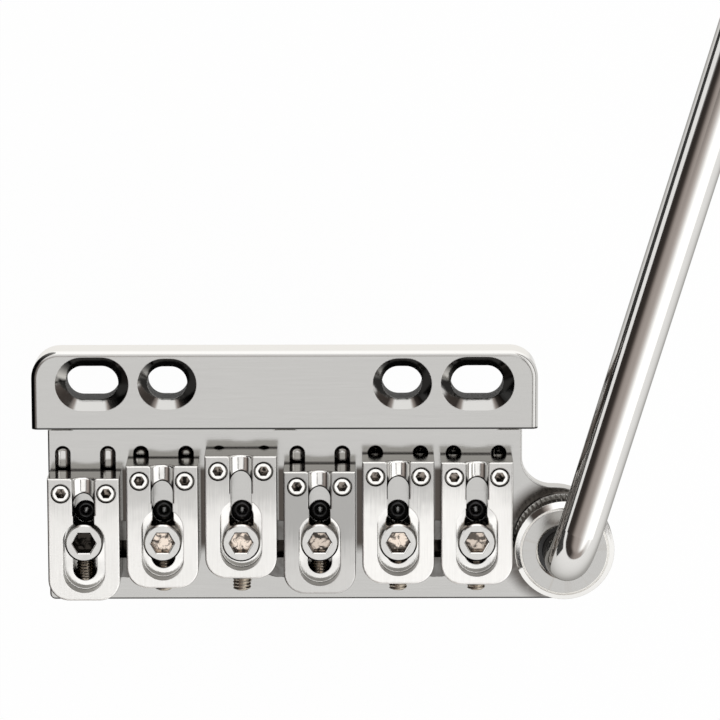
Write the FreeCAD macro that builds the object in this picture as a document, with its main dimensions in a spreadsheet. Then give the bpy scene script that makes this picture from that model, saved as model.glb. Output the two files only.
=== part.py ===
import FreeCAD, Part
import math
import os
import re
import Sketcher

# Guitar tremolo bridge. X runs across the strings, bass to treble, Y towards the neck
# and Z up. The origin is on the guitar's top, in the middle of the row of mounting slots.

doc = FreeCAD.newDocument("TremoloBridge")
sheet = doc.addObject("Spreadsheet::Sheet", "Sizes")

string_count = 6
knurl_count = 60
full_turn = 360.0

# Driving sizes, in millimetres, with two angles in degrees and two shares of a saddle's width.
sizes = {
    # levels above the guitar's top
    "plate_thickness": 5.4,
    "lip_thickness": 1.15,
    "base_lift": 1.4,
    "base_thickness": 2.2,
    # strings, and the gap between two saddles
    "string_pitch": 10.75,
    "string_shift": 0.6,
    "saddle_side_gap": 0.9,
    # fixed plate, distances from the line of slots
    "plate_overhang": 2.1,
    "plate_front": 4.5,
    "heel_rear": 2.9,
    "lip_cover": 1.3,
    "plate_corner": 3.8,
    "plate_round": 0.9,
    "outer_slot_inset": 8.3,
    "outer_slot_length": 7.2,
    "outer_slot_width": 4.6,
    "outer_slot_sink": 1.45,
    "slot_step": 10.3,
    "inner_slot_length": 5.5,
    "inner_slot_width": 4.5,
    "inner_slot_sink": 1.3,
    # pivot between the fixed plate and the base plate
    "barrel_gap": 0.35,
    "barrel_radius": 1.75,
    "lug_radius": 1.5,
    "lug_width": 2.8,
    "lug_root": 0.3,
    "end_lug_inset": 0.4,
    "lug_gap": 0.25,
    "pin_radius": 1.0,
    "pin_fit": 0.02,
    "bush_radius": 1.4,
    "bush_length": 6.0,
    "bush_fit": 0.01,
    "running_gap": 0.05,
    # base plate
    "base_margin": 0.8,
    "base_corner": 0.8,
    "base_behind": 8.1,
    "ear_ahead": 7.75,
    "ear_inset": 1.25,
    "groove_spare": 0.35,
    "groove_width": 2.1,
    "groove_depth": 0.9,
    "groove_wall": 0.05,
    "string_to_clamp": 3.3,
    "string_hole_radius": 1.5,
    # sustain block and its screws
    "block_inset": 0.6,
    "block_lead": 3.1,
    "block_rear_inset": 2.6,
    "block_depth": 38.0,
    "block_corner": 1.5,
    "block_relief": 0.7,
    "ball_recess_radius": 2.3,
    "ball_recess_depth": 12.0,
    "spring_hole_radius": 1.3,
    "spring_hole_depth": 8.0,
    "block_screw_behind": 2.1,
    "block_screw_radius": 2.0,
    "block_screw_length": 12.0,
    "block_screw_head": 4.0,
    "block_screw_key": 2.5,
    "screw_fit": 0.05,
    # saddles: how far each is set forward from the rear end of its travel
    "saddle_set_1": 0.26,
    "saddle_set_2": 2.0,
    "saddle_set_3": 3.35,
    "saddle_set_4": 1.18,
    "saddle_set_5": 2.55,
    "saddle_set_6": 2.44,
    "saddle_clear": 1.97,
    "saddle_height": 5.5,
    "saddle_gap": 0.3,
    "saddle_corner": 2.9,
    "saddle_round": 0.25,
    "foot_width": 6.0,
    "foot_length": 1.3,
    "foot_inset": 0.2,
    "foot_clear": 0.02,
    "channel_share": 0.294,
    "nose_length": 2.3,
    "seat_drop": 0.9,
    "seat_radius": 1.87,
    "seat_front_round": 0.4,
    "seat_rear_round": 0.4,
    "well_front": 8.8,
    "well_travel": 4.33,
    "well_width": 5.7,
    "well_floor_clear": 0.2,
    "rear_wall": 1.12,
    "floor_slot_width": 3.3,
    # screws of a saddle
    "height_screw_share": 0.315,
    "height_screw_inset": 2.1,
    "height_screw_radius": 1.3,
    "height_screw_fit": 0.04,
    "height_screw_key": 1.3,
    "height_screw_drop": 0.15,
    "tip_radius": 0.9,
    "tip_clear": 0.03,
    "tip_flat": 0.2,
    "clamp_head_radius": 2.62,
    "clamp_head_height": 2.3,
    "clamp_shank_radius": 1.45,
    "clamp_grip": 5.0,
    "clamp_key": 2.75,
    "clamp_key_mouth": 0.15,
    "clamp_seat": 0.02,
    "tuning_screw_radius": 1.25,
    "tuning_screw_length": 5.8,
    "tuning_screw_rise": 1.65,
    "tuning_screw_key": 1.27,
    "tuning_tip_gap": 0.1,
    # arm, its socket and its collar
    "arm_radius": 3.0,
    "arm_shaft": 11.2,
    "arm_bend": 10.0,
    "arm_rise": 20.0,
    "arm_swing": 14.6,
    "arm_handle": 128.0,
    "arm_tip_round": 2.6,
    "socket_floor": 0.5,
    "socket_wall": 1.0,
    "socket_flange": 1.2,
    "socket_flange_height": 0.8,
    "bush_wall": 0.55,
    "bush_drop": 0.3,
    "collar_behind": 1.1,
    "collar_gap": 0.2,
    "collar_radius": 6.85,
    "collar_height": 6.3,
    "collar_chamfer": 0.75,
    "collar_foot": 0.5,
    "collar_roof": 1.3,
    "collar_roof_gap": 0.2,
    "collar_line": 0.15,
    "knurl_depth": 0.3,
    "knurl_half": 0.34,
    "knurl_margin": 0.7,
    "edge_break": 0.25,
}

# Sizes that follow from the ones above. Those called back run from the line of slots
# towards the tail of the guitar.
derived = {
    "saddle_width": "string_pitch - saddle_side_gap",
    "channel_width": "channel_share * saddle_width",
    "height_screw_spread": "height_screw_share * saddle_width",
    "well_rear": "well_front + well_travel",
    "saddle_length": "well_rear + 0.5 * well_width + rear_wall",
    "well_depth": "saddle_height - tuning_screw_rise - tuning_screw_radius - well_floor_clear",
    "base_width": "5 * string_pitch + saddle_width + 2 * base_margin",
    "plate_width": "base_width + 2 * plate_overhang",
    "outer_slot_reach": "0.5 * plate_width - outer_slot_inset",
    "inner_slot_reach": "outer_slot_reach - slot_step",
    "end_lug_reach": "0.5 * base_width - end_lug_inset",
    "pivot_back": "heel_rear + barrel_radius + barrel_gap",
    "plate_rear": "pivot_back + lip_cover",
    "clamp_back": "plate_rear + saddle_clear + well_rear",
    "string_hole_back": "clamp_back - string_to_clamp",
    "groove_front": "clamp_back - well_rear + height_screw_inset - 0.5 * groove_width - groove_spare",
    "groove_rear": "clamp_back - well_front + height_screw_inset + 0.5 * groove_width + groove_spare",
    "groove_round": "groove_depth - groove_wall",
    "tip_round": "tip_radius - tip_flat",
    "collar_back": "clamp_back + collar_behind",
    "collar_reach": "2.5 * string_pitch - string_shift + 0.5 * saddle_width + collar_gap + collar_radius",
    "socket_rise": "collar_height - collar_roof - collar_roof_gap",
    "base_rear": "collar_back + base_behind",
    "ear_front": "collar_back - ear_ahead",
    "ear_reach": "collar_reach - ear_inset",
    "ear_fillet": "ear_reach - 0.5 * base_width - edge_break",
    "block_width": "base_width - 2 * block_inset",
    "block_front": "string_hole_back - block_lead",
    "block_rear": "base_rear - block_rear_inset",
    "block_screw_back": "clamp_back + block_screw_behind",
}
for number in range(1, string_count + 1):
    derived["saddle_front_%d" % number] = "clamp_back - well_front - saddle_set_%d" % number

cells = {alias: str(value) for alias, value in sizes.items()}
cells.update({alias: "=" + text for alias, text in derived.items()})
for row, (alias, content) in enumerate(cells.items(), start=1):
    sheet.set("A%d" % row, alias)
    sheet.set("B%d" % row, content)
    sheet.setAlias("B%d" % row, alias)
doc.recompute()

# Levels and places that several pieces share, as sums of the sizes above.
base_top = "base_lift + base_thickness"
pivot_level = base_top + " - barrel_radius"
base_edge = "0.5*base_width"
ear_radius = "0.5*base_rear - 0.5*ear_front"
ear_middle = "-0.5*base_rear - 0.5*ear_front"
end_lug_inner = "end_lug_reach - lug_width"
saddle_bottom = base_top + " + saddle_gap"
clamp_seat_level = saddle_bottom + " + saddle_height - well_depth + clamp_seat"
socket_bore = "arm_radius + running_gap + bush_wall"
socket_outer = socket_bore + " + socket_wall"

term = re.compile(r"([+-]?)\s*(?:([\d.]+)\s*\*\s*)?([a-z]\w*)")


def measure(text):
    total = 0.0
    for sign, factor, alias in term.findall(text):
        value = sheet.get(alias) * float(factor or 1)
        total += -value if sign == "-" else value
    return total


def formula(text):
    return re.sub(r"([a-z]\w*)", r"Sizes.\1", text)


def minus(text):
    swapped = text.replace("-", "#").replace("+", "-").replace("#", "+").strip()
    return swapped if swapped.startswith("+") else "-" + swapped


def string_place(number):
    steps = number - 0.5 * (string_count - 1)
    sign = "+" if steps >= 0 else "-"
    return "-string_shift %s %s*string_pitch" % (sign, abs(steps))


def new_body(label, x="0", y="0", z="0", rotation=None):
    body = doc.addObject("PartDesign::Body", label)
    body.Label = label
    if rotation:
        body.Placement = FreeCAD.Placement(FreeCAD.Vector(), rotation)
    for axis, text in zip("xyz", (x, y, z)):
        body.setExpression("Placement.Base." + axis, formula(text))
    return body


def new_sketch(body, name, plane="XY_Plane", lift="0"):
    sketch = body.newObject("Sketcher::SketchObject", body.Name + "_" + name)
    support = [item for item in body.Origin.OriginFeatures if item.Role == plane]
    sketch.AttachmentSupport = [(support[0], "")]
    sketch.MapMode = "FlatFace"
    sketch.setExpression("AttachmentOffset.Base.z", formula(lift))
    return sketch


def hold(sketch, kind, place, text):
    index = sketch.addConstraint(Sketcher.Constraint(kind, *place, measure(text)))
    sketch.setExpression("Constraints[%d]" % index, formula(text))


def hold_point(sketch, shape, end, spot):
    hold(sketch, "DistanceX", (-1, 1, shape, end), spot[0])
    hold(sketch, "DistanceY", (-1, 1, shape, end), spot[1])


def vector(spot):
    return FreeCAD.Vector(measure(spot[0]), measure(spot[1]), 0)


def polygon(sketch, corners):
    first = sketch.GeometryCount
    count = len(corners)
    for k in range(count):
        sketch.addGeometry(Part.LineSegment(vector(corners[k]), vector(corners[(k + 1) % count])))
    for k in range(count):
        sketch.addConstraint(Sketcher.Constraint("Coincident", first + k, 2, first + (k + 1) % count, 1))
        hold_point(sketch, first + k, 1, corners[k])


def rectangle(sketch, left, right, low, high):
    polygon(sketch, [(left, low), (right, low), (right, high), (left, high)])


def hexagon(sketch, across):
    half = 0.5
    corner = 1 / math.sqrt(3)
    side = half * corner
    polygon(sketch, [
        ("%.9f*%s" % (corner, across), "0"),
        ("%.9f*%s" % (side, across), "%s*%s" % (half, across)),
        ("-%.9f*%s" % (side, across), "%s*%s" % (half, across)),
        ("-%.9f*%s" % (corner, across), "0"),
        ("-%.9f*%s" % (side, across), "-%s*%s" % (half, across)),
        ("%.9f*%s" % (side, across), "-%s*%s" % (half, across)),
    ])


def circle(sketch, x, y, radius):
    ring = Part.Circle(vector((x, y)), FreeCAD.Vector(0, 0, 1), measure(radius))
    index = sketch.addGeometry(ring)
    hold_point(sketch, index, 3, (x, y))
    hold(sketch, "Radius", (index,), radius)


def arc(sketch, centre, radius, start, end):
    ring = Part.Circle(vector(centre), FreeCAD.Vector(0, 0, 1), measure(radius))
    index = sketch.addGeometry(Part.ArcOfCircle(ring, math.radians(start), math.radians(end)))
    hold_point(sketch, index, 3, centre)
    hold(sketch, "Radius", (index,), radius)
    return index


def slot(sketch, start, end, radius, along):
    # A round-ended slot between two centres, start before end along x or y.
    turn = 0 if along == "x" else 90
    low = arc(sketch, start, radius, 90 + turn, 270 + turn)
    high = arc(sketch, end, radius, -90 + turn, 90 + turn)
    ends = [(low, 2, high, 1), (high, 2, low, 1)]
    for from_arc, from_end, to_arc, to_end in ends:
        line = sketch.addGeometry(Part.LineSegment(
            sketch.getPoint(from_arc, from_end), sketch.getPoint(to_arc, to_end)))
        sketch.addConstraint(Sketcher.Constraint("Tangent", from_arc, from_end, line, 1))
        sketch.addConstraint(Sketcher.Constraint("Tangent", line, 2, to_arc, to_end))


def tongue(sketch, root, tip, level, radius):
    # A straight-sided tab that runs along x from its root to a round tip.
    forward = measure(tip) > measure(root)
    start = -90 if forward else 90
    bend = arc(sketch, (tip, level), radius, start, start + 180)
    lower = (root, "%s %s" % (level, minus(radius)))
    upper = (root, "%s + %s" % (level, radius))
    first, last = (lower, upper) if forward else (upper, lower)
    inward = sketch.addGeometry(Part.LineSegment(vector(first), sketch.getPoint(bend, 1)))
    outward = sketch.addGeometry(Part.LineSegment(sketch.getPoint(bend, 2), vector(last)))
    closing = sketch.addGeometry(Part.LineSegment(vector(last), vector(first)))
    sketch.addConstraint(Sketcher.Constraint("Tangent", inward, 2, bend, 1))
    sketch.addConstraint(Sketcher.Constraint("Tangent", bend, 2, outward, 1))
    sketch.addConstraint(Sketcher.Constraint("Coincident", outward, 2, closing, 1))
    sketch.addConstraint(Sketcher.Constraint("Coincident", closing, 2, inward, 1))
    hold_point(sketch, inward, 1, first)
    hold_point(sketch, outward, 2, last)


def pad(sketch, length, downward=False):
    body = sketch.getParentGeoFeatureGroup()
    feature = body.newObject("PartDesign::Pad", sketch.Name + "_pad")
    feature.Profile = sketch
    feature.setExpression("Length", formula(length))
    feature.Reversed = downward
    return feature


def pocket(sketch, depth=None, forward=False, both_ways=False):
    # With no depth the cut goes right through.
    body = sketch.getParentGeoFeatureGroup()
    feature = body.newObject("PartDesign::Pocket", sketch.Name + "_cut")
    feature.Profile = sketch
    feature.Reversed = forward
    if both_ways:
        feature.SideType = "Symmetric"
    if depth:
        feature.setExpression("Length", formula(depth))
    else:
        feature.Type = "ThroughAll"
    return feature


def revolve(body, name, profile):
    # A turned piece: the profile's points are radius and height.
    sketch = new_sketch(body, name, "XZ_Plane")
    polygon(sketch, profile)
    feature = body.newObject("PartDesign::Revolution", sketch.Name + "_turned")
    feature.Profile = sketch
    feature.ReferenceAxis = (sketch, ["V_Axis"])
    feature.Angle = full_turn
    return feature


def dress(body, kind, name, size, wanted):
    # A fillet or chamfer on the edges that the test picks.
    doc.recompute()
    base = body.Tip
    edges = ["Edge%d" % k for k, edge in enumerate(base.Shape.Edges, start=1) if wanted(edge)]
    feature = body.newObject("PartDesign::" + kind, body.Name + "_" + name)
    feature.Base = (base, edges)
    feature.setExpression("Radius" if kind == "Fillet" else "Size", formula(size))
    doc.recompute()
    return feature


tolerance = 1e-4
curve_tolerance = 0.01


def near(value, text, slack=tolerance):
    return abs(value - measure(text)) < slack


def upright_at(edge, x, y):
    box = edge.BoundBox
    flat = box.XLength < tolerance and box.YLength < tolerance
    return flat and abs(box.XMin - x) < tolerance and abs(box.YMin - y) < tolerance


def level_at(edge, text):
    box = edge.BoundBox
    return box.ZLength < tolerance and near(box.ZMin, text)


def hex_socket(body, across, depth, lift):
    sketch = new_sketch(body, "key", lift=lift)
    hexagon(sketch, across)
    pocket(sketch, depth)


def fixed_plate():
    body = new_body("fixed_plate")
    half = "0.5*plate_width"
    outline = new_sketch(body, "outline")
    rectangle(outline, minus(half), half, "-plate_rear", "plate_front")
    pad(outline, "plate_thickness")
    edge_x = measure(half)
    edge_y = measure("plate_front")
    dress(body, "Fillet", "corners", "plate_corner",
          lambda e: upright_at(e, edge_x, edge_y) or upright_at(e, -edge_x, edge_y))
    dress(body, "Fillet", "rim", "plate_round",
          lambda e: level_at(e, "plate_thickness") and not near(e.BoundBox.YMax, "-plate_rear"))

    relief = new_sketch(body, "relief")
    rectangle(relief, minus(half) + " - plate_round", half + " + plate_round",
              "-plate_rear - plate_round", "-heel_rear")
    pocket(relief, "plate_thickness - lip_thickness", forward=True)

    for kind in ("outer", "inner"):
        reach, length, width, sink = [
            kind + "_slot_" + part for part in ("reach", "length", "width", "sink")]
        cut = new_sketch(body, kind + "_slots", lift="plate_thickness")
        for side in ("-", ""):
            low = "%s%s - 0.5*%s + 0.5*%s" % (side, reach, length, width)
            high = "%s%s + 0.5*%s - 0.5*%s" % (side, reach, length, width)
            slot(cut, (low, "0"), (high, "0"), "0.5*" + width, "x")
        pocket(cut)
        middle = measure(reach)
        spread = measure("0.5*" + length) + tolerance
        depth = measure("0.5*" + width) + tolerance
        dress(body, "Chamfer", kind + "_sinks", sink, lambda e: (
            level_at(e, "plate_thickness")
            and abs(abs(e.BoundBox.Center.x) - middle) < spread
            and max(abs(e.BoundBox.YMin), abs(e.BoundBox.YMax)) < depth))

    lug_starts = [end_lug_inner, "-0.5*lug_width", "-end_lug_reach"]
    for number, start in enumerate(lug_starts, start=1):
        lug = new_sketch(body, "lug_%d" % number, "YZ_Plane", start)
        tongue(lug, "-heel_rear + lug_root", "-pivot_back", pivot_level, "lug_radius")
        pad(lug, "lug_width")
    hole = new_sketch(body, "pin_hole", "YZ_Plane")
    circle(hole, "-pivot_back", pivot_level, "pin_radius + pin_fit")
    pocket(hole, both_ways=True)
    return body


def pivot_pin():
    along_x = FreeCAD.Rotation(FreeCAD.Vector(0, 1, 0), 90)
    body = new_body("pivot_pin", "-end_lug_reach", "-pivot_back", pivot_level, along_x)
    revolve(body, "shape", [
        ("0", "0"),
        ("pin_radius - edge_break", "0"),
        ("pin_radius", "edge_break"),
        ("pin_radius", "2*end_lug_reach - edge_break"),
        ("pin_radius - edge_break", "2*end_lug_reach"),
        ("0", "2*end_lug_reach"),
    ])
    return body


def pivot_bushes():
    along_x = FreeCAD.Rotation(FreeCAD.Vector(0, 1, 0), 90)
    inner = "0.5*lug_width + lug_gap"
    outer = end_lug_inner + " - lug_gap"
    starts = [inner, outer + " - bush_length", minus(inner) + " - bush_length", minus(outer)]
    pieces = []
    for number, start in enumerate(starts, start=1):
        body = new_body("pivot_bush_%d" % number, start, "-pivot_back", pivot_level, along_x)
        ring = new_sketch(body, "ring")
        circle(ring, "0", "0", "bush_radius - bush_fit")
        circle(ring, "0", "0", "pin_radius + running_gap")
        pad(ring, "bush_length")
        pieces.append(body)
    return group("pivot_bushes", pieces)


def group(label, pieces):
    bundle = doc.addObject("Part::Compound", label)
    bundle.Label = label
    bundle.Links = pieces
    return bundle


def block_screw_places():
    # One screw in the gap between each pair of saddles.
    return ["-string_shift %s %s*string_pitch" % (sign, steps)
            for sign, steps in (("-", 2), ("+", 0), ("+", 2))]


def base_plate():
    body = new_body("base_plate")
    outline = new_sketch(body, "outline", lift="base_lift")
    rectangle(outline, minus(base_edge), base_edge, "-base_rear", "-pivot_back")
    pad(outline, "base_thickness")
    ear = new_sketch(body, "ear", lift="base_lift")
    tongue(ear, "0.25*base_width", "ear_reach", ear_middle, ear_radius)
    pad(ear, "base_thickness")
    edge_x = measure(base_edge)
    inner_y = measure("-ear_front")
    rear_y = measure("-base_rear")
    dress(body, "Fillet", "ear_root", "ear_fillet", lambda e: upright_at(e, edge_x, inner_y))
    dress(body, "Fillet", "corner", "base_corner", lambda e: upright_at(e, -edge_x, rear_y))
    dress(body, "Fillet", "rim", "edge_break",
          lambda e: level_at(e, base_top) and not near(e.BoundBox.YMin, "-pivot_back"))

    barrel_start = "0.5*lug_width + lug_gap"
    barrel_end = end_lug_inner + " - lug_gap"
    barrel_length = "end_lug_reach - 1.5*lug_width - 2*lug_gap"
    for side, start in (("treble", barrel_start), ("bass", minus(barrel_end))):
        barrel = new_sketch(body, side + "_barrel", "YZ_Plane", start)
        circle(barrel, "-pivot_back", pivot_level, "barrel_radius")
        pad(barrel, barrel_length)
    notch = new_sketch(body, "lug_notches", lift=base_top)
    notch_rear = "-pivot_back - lug_radius - lug_gap"
    notch_front = "-pivot_back + barrel_radius"
    rectangle(notch, minus(barrel_start), barrel_start, notch_rear, notch_front)
    rectangle(notch, barrel_end, base_edge + " + lug_gap", notch_rear, notch_front)
    rectangle(notch, minus(base_edge) + " - lug_gap", minus(barrel_end), notch_rear, notch_front)
    pocket(notch)
    bush_hole = new_sketch(body, "bush_hole", "YZ_Plane")
    circle(bush_hole, "-pivot_back", pivot_level, "bush_radius")
    pocket(bush_hole, both_ways=True)

    grooves = new_sketch(body, "grooves", lift=base_top)
    holes = new_sketch(body, "string_holes", lift=base_top)
    for number in range(string_count):
        place = string_place(number)
        circle(holes, place, "-string_hole_back", "string_hole_radius")
        circle(holes, place, "-clamp_back", "clamp_shank_radius + screw_fit")
        for side in ("-", "+"):
            x = "%s %s height_screw_spread" % (place, side)
            slot(grooves, (x, "-groove_rear + 0.5*groove_width"),
                 (x, "-groove_front - 0.5*groove_width"), "0.5*groove_width", "y")
    pocket(grooves, "groove_depth")
    dress(body, "Fillet", "groove_bottoms", "groove_round",
          lambda e: level_at(e, base_top + " - groove_depth"))
    pocket(holes)

    seats = new_sketch(body, "block_screw_seats", lift=base_top)
    for place in block_screw_places():
        circle(seats, place, "-block_screw_back", "block_screw_radius + screw_fit")
    pocket(seats)
    dress(body, "Chamfer", "block_screw_sinks", "block_screw_head - block_screw_radius",
          lambda e: level_at(e, base_top) and near(e.BoundBox.Center.y, "-block_screw_back")
          and near(e.BoundBox.XLength, "2*block_screw_radius + 2*screw_fit"))

    socket_hole = new_sketch(body, "socket_hole", lift=base_top)
    circle(socket_hole, "collar_reach", "-collar_back", socket_outer + " + bush_fit")
    pocket(socket_hole)
    flange_seat = new_sketch(body, "flange_seat", lift="base_lift")
    circle(flange_seat, "collar_reach", "-collar_back", socket_outer + " + socket_flange + bush_fit")
    pocket(flange_seat, "socket_flange_height", forward=True)
    return body


def sustain_block():
    body = new_body("sustain_block")
    half = "0.5*block_width"
    outline = new_sketch(body, "outline", lift="base_lift")
    rectangle(outline, minus(half), half, "-block_rear", "-block_front")
    pad(outline, "block_depth", downward=True)
    bottom = "base_lift - block_depth"
    dress(body, "Chamfer", "relief", "block_relief",
          lambda e: level_at(e, bottom) and near(e.BoundBox.YMin, "-block_front"))
    edges_x = (measure(half), -measure(half))
    edges_y = (-measure("block_front"), -measure("block_rear"))
    dress(body, "Fillet", "corners", "block_corner",
          lambda e: any(upright_at(e, x, y) for x in edges_x for y in edges_y))

    strings = new_sketch(body, "string_holes", lift="base_lift")
    recess = new_sketch(body, "ball_recesses", lift=bottom)
    clamps = new_sketch(body, "clamp_threads", lift="base_lift")
    for number in range(string_count):
        place = string_place(number)
        circle(strings, place, "-string_hole_back", "string_hole_radius")
        circle(recess, place, "-string_hole_back", "ball_recess_radius")
        circle(clamps, place, "-clamp_back", "clamp_shank_radius + screw_fit")
    pocket(strings)
    pocket(recess, "ball_recess_depth", forward=True)
    pocket(clamps, "clamp_grip")
    threads = new_sketch(body, "screw_threads", lift="base_lift")
    for place in block_screw_places():
        circle(threads, place, "-block_screw_back", "block_screw_radius + screw_fit")
    pocket(threads, "block_screw_length")
    springs = new_sketch(body, "spring_holes", lift=bottom)
    for steps in (-2, -1, 0, 1, 2):
        sign = "-" if steps < 0 else "+"
        place = "-string_shift %s %s*string_pitch" % (sign, abs(steps))
        circle(springs, place, "-block_screw_back", "spring_hole_radius")
    pocket(springs, "spring_hole_depth", forward=True)
    return body


def block_screws():
    pieces = []
    reach = "block_screw_radius - block_screw_head"
    for number, place in enumerate(block_screw_places(), start=1):
        body = new_body("block_screw_%d" % number, place, "-block_screw_back", base_top)
        revolve(body, "shape", [
            ("0", "-block_screw_length"),
            ("block_screw_radius - edge_break", "-block_screw_length"),
            ("block_screw_radius", "-block_screw_length + edge_break"),
            ("block_screw_radius", reach + " - screw_fit"),
            ("block_screw_head", "-screw_fit"),
            ("0", "-screw_fit"),
        ])
        hex_socket(body, "block_screw_key", "block_screw_head - block_screw_radius", "0")
        pieces.append(body)
    return group("block_screws", pieces)


def saddle(number):
    body = new_body("saddle_%d" % (number + 1), string_place(number),
                    "-saddle_front_%d" % (number + 1), saddle_bottom)
    half = "0.5*saddle_width"
    outline = new_sketch(body, "outline")
    rectangle(outline, minus(half), half, "-saddle_length", "0")
    pad(outline, "saddle_height")
    # The string's seat is a round trough across the nose, rolled over at both ends.
    seat_level = "saddle_height - seat_drop"
    seat = new_sketch(body, "seat", "XZ_Plane")
    circle(seat, "0", seat_level + " + seat_radius", "seat_radius")
    pocket(seat, "nose_length + channel_width", forward=True)
    dress(body, "Fillet", "seat_front", "seat_front_round",
          lambda e: near(e.BoundBox.YMin, "0") and near(e.BoundBox.ZMin, seat_level))
    edge_x = measure(half)
    rear_y = -measure("saddle_length")
    dress(body, "Fillet", "corners", "saddle_corner",
          lambda e: upright_at(e, edge_x, rear_y) or upright_at(e, -edge_x, rear_y))
    dress(body, "Fillet", "rim", "saddle_round", lambda e: level_at(e, "saddle_height")
          and abs(e.BoundBox.Center.x) > measure("seat_radius"))

    foot = new_sketch(body, "foot")
    rectangle(foot, "-0.5*foot_width", "0.5*foot_width", "-saddle_length + foot_inset",
              "-saddle_length + foot_inset + foot_length")
    pad(foot, "saddle_gap - foot_clear", downward=True)

    well = new_sketch(body, "well", lift="saddle_height")
    slot(well, ("0", "-well_rear"), ("0", "-well_front"), "0.5*well_width", "y")
    pocket(well, "well_depth")
    floor_slot = new_sketch(body, "floor_slot", lift="saddle_height")
    slot(floor_slot, ("0", "-well_rear"), ("0", "-well_front"), "0.5*floor_slot_width", "y")
    pocket(floor_slot)
    channel = new_sketch(body, "channel", lift="saddle_height")
    slot(channel, ("0", "-well_front"), ("0", "-nose_length - 0.5*channel_width"), "0.5*channel_width", "y")
    pocket(channel)

    dress(body, "Fillet", "seat_rear", "seat_rear_round",
          lambda e: near(e.BoundBox.YMax, "-nose_length", curve_tolerance)
          and near(e.BoundBox.ZMin, seat_level, curve_tolerance))

    screw_holes = new_sketch(body, "screw_holes", lift="saddle_height")
    for side in ("-", ""):
        circle(screw_holes, side + "height_screw_spread", "-height_screw_inset",
               "height_screw_radius + height_screw_fit")
    pocket(screw_holes)
    tuning_hole = new_sketch(body, "tuning_hole", "XZ_Plane", "well_rear")
    circle(tuning_hole, "0", "tuning_screw_rise", "tuning_screw_radius + screw_fit")
    pocket(tuning_hole, "saddle_length", forward=True)
    return body


def height_screws(number):
    pieces = []
    tip_level = base_top + " - groove_depth + tip_clear"
    tip = "groove_depth + 0.5*saddle_gap"
    length = "groove_depth - tip_clear + saddle_gap + saddle_height - height_screw_drop"
    for side, sign in (("bass", "-"), ("treble", "+")):
        body = new_body("height_screw_%d_%s" % (number + 1, side),
                        "%s %s height_screw_spread" % (string_place(number), sign),
                        "-saddle_front_%d - height_screw_inset" % (number + 1), tip_level)
        revolve(body, "shape", [
            ("0", "0"),
            ("tip_radius", "0"),
            ("tip_radius", tip),
            ("height_screw_radius", tip + " + height_screw_radius - tip_radius"),
            ("height_screw_radius", length + " - edge_break"),
            ("height_screw_radius - edge_break", length),
            ("0", length),
        ])
        dress(body, "Fillet", "tip", "tip_round", lambda e: level_at(e, "0"))
        hex_socket(body, "height_screw_key", "height_screw_key", length)
        pieces.append(body)
    return group("height_screws_%d" % (number + 1), pieces)


def clamp_screw(number):
    body = new_body("clamp_screw_%d" % (number + 1), string_place(number), "-clamp_back",
                    clamp_seat_level)
    end = minus(clamp_seat_level) + " + base_lift - clamp_grip + edge_break"
    revolve(body, "shape", [
        ("0", end),
        ("clamp_shank_radius - edge_break", end),
        ("clamp_shank_radius", end + " + edge_break"),
        ("clamp_shank_radius", "0"),
        ("clamp_head_radius", "0"),
        ("clamp_head_radius", "clamp_head_height - edge_break"),
        ("clamp_head_radius - edge_break", "clamp_head_height"),
        ("0", "clamp_head_height"),
    ])
    hex_socket(body, "clamp_key", "0.5*clamp_key", "clamp_head_height")
    dress(body, "Chamfer", "key_mouth", "clamp_key_mouth", lambda e: (
        level_at(e, "clamp_head_height") and e.Curve.TypeId == "Part::GeomLine"))
    return body


def intonation_screw(number):
    backward = FreeCAD.Rotation(FreeCAD.Vector(1, 0, 0), 90)
    body = new_body("intonation_screw_%d" % (number + 1), string_place(number),
                    "-clamp_back - clamp_shank_radius - tuning_tip_gap",
                    saddle_bottom + " + tuning_screw_rise", backward)
    revolve(body, "shape", [
        ("0", "0"),
        ("tuning_screw_radius - 2*edge_break", "0"),
        ("tuning_screw_radius", "2*edge_break"),
        ("tuning_screw_radius", "tuning_screw_length - edge_break"),
        ("tuning_screw_radius - edge_break", "tuning_screw_length"),
        ("0", "tuning_screw_length"),
    ])
    hex_socket(body, "tuning_screw_key", "tuning_screw_key", "tuning_screw_length")
    return body


def arm_socket():
    body = new_body("arm_socket", "collar_reach", "-collar_back", "base_lift")
    rise = "base_thickness + socket_rise"
    revolve(body, "shape", [
        ("0", "0"),
        (socket_outer + " + socket_flange", "0"),
        (socket_outer + " + socket_flange", "socket_flange_height"),
        (socket_outer, "socket_flange_height"),
        (socket_outer, rise + " - edge_break"),
        (socket_outer + " - edge_break", rise),
        (socket_bore, rise),
        (socket_bore, "socket_floor"),
        ("0", "socket_floor"),
    ])
    return body


def arm_bush():
    body = new_body("arm_bush", "collar_reach", "-collar_back", "base_lift + socket_floor")
    ring = new_sketch(body, "ring")
    circle(ring, "0", "0", socket_bore + " - bush_fit")
    circle(ring, "0", "0", "arm_radius + running_gap")
    pad(ring, "base_thickness - socket_floor + collar_height - bush_drop")
    return body


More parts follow.
